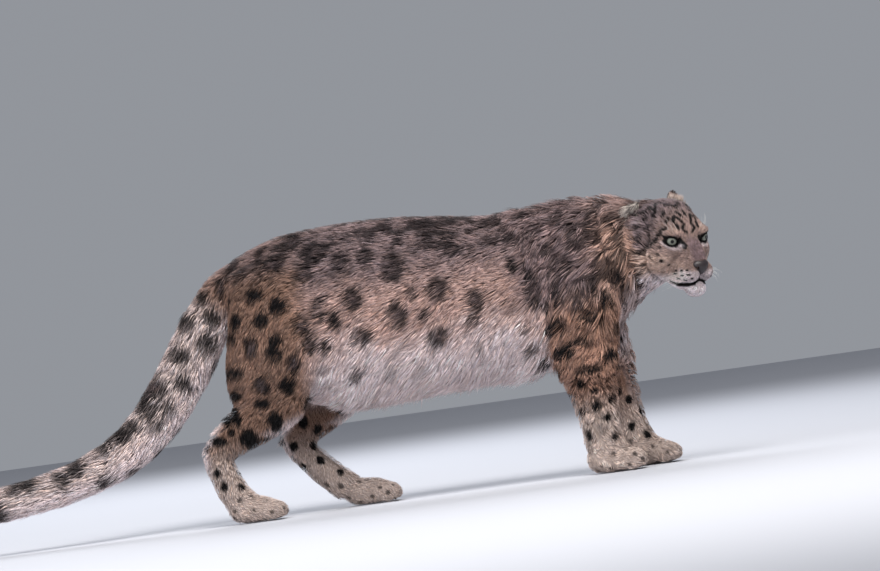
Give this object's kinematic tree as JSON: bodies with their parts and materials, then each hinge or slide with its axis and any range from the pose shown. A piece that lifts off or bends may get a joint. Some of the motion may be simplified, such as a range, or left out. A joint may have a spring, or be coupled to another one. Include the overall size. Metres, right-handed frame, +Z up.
{
  "type": "snow leopard",
  "caption": "Life-size snow leopard with a long furred tail, standing in a low walking stance with its head turned to its right side.",
  "frame": {"origin": "middle of the bounding box on the plane of the soles", "axes": "+X towards the front of the animal, +Y towards its left side, +Z up"},
  "size_m": [1.7926, 0.309, 0.5886],
  "materials": {
    "coat": "long dense fur, grey to tan with dark rosettes",
    "eye": "wet and clear over a pale grey-green iris",
    "nose leather": "damp, finely pebbled"
  },
  "bodies": {
    "root": {"ear_L": "coat", "ear_R": "coat", "eye_L": "eye", "eye_R": "eye", "foreleg_L": "coat", "foreleg_R": "coat", "forepaw_L": "coat", "forepaw_R": "coat", "head": "coat", "hindleg_L": "coat", "hindleg_R": "coat", "hindpaw_L": "coat", "hindpaw_R": "coat", "neck": "coat", "nose": "nose leather", "shank_L": "coat", "shank_R": "coat", "tail_lower": "coat", "tail_root": "coat", "tail_tip": "coat", "tail_upper": "coat", "torso": "coat"}
  },
  "joints": []
}
